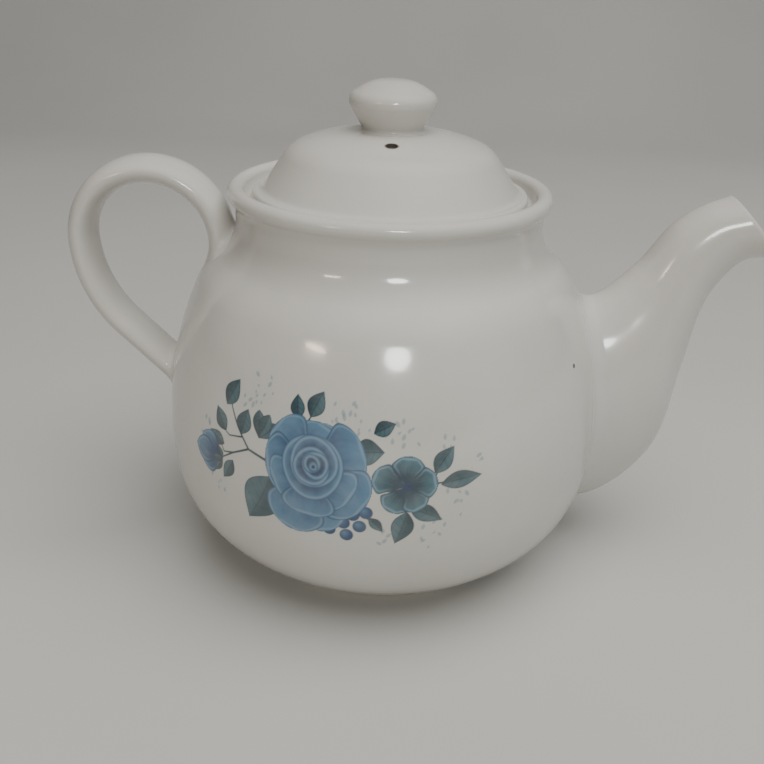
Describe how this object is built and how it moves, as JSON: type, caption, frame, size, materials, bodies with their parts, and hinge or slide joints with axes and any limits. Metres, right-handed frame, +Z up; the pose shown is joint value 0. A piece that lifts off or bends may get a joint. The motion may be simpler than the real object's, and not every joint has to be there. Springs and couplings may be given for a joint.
{
  "type": "teapot",
  "caption": "Round glazed ceramic teapot with a flared rim, strap handle, curved spout, blue flower print and a domed lift-off lid with a button knob.",
  "frame": {"origin": "on the pot's axis, in the plane that the foot ring rests on", "axes": "+Z up along the pot's axis, +X towards the spout, -X towards the handle, -Y the front with the print seen in use by a right hand"},
  "size_m": [0.2357, 0.1502, 0.1633],
  "materials": {
    "white_glaze": "glossy white glaze",
    "bare_clay": "unglazed, ground flat",
    "blue_print": "blue print fired under the glaze"
  },
  "bodies": {
    "pot": {"pot_body": "white_glaze", "foot_ring": "bare_clay", "spout": "white_glaze", "handle": "white_glaze", "front_decal": "blue_print", "back_decal": "blue_print"},
    "lid": {"lid": "white_glaze", "lid_knob": "white_glaze"}
  },
  "joints": [
    {"name": "lid_lift", "type": "slide", "parent": "pot", "child": "lid", "axis": [0, 0, 1], "range_m": [0, 0.06]}
  ]
}
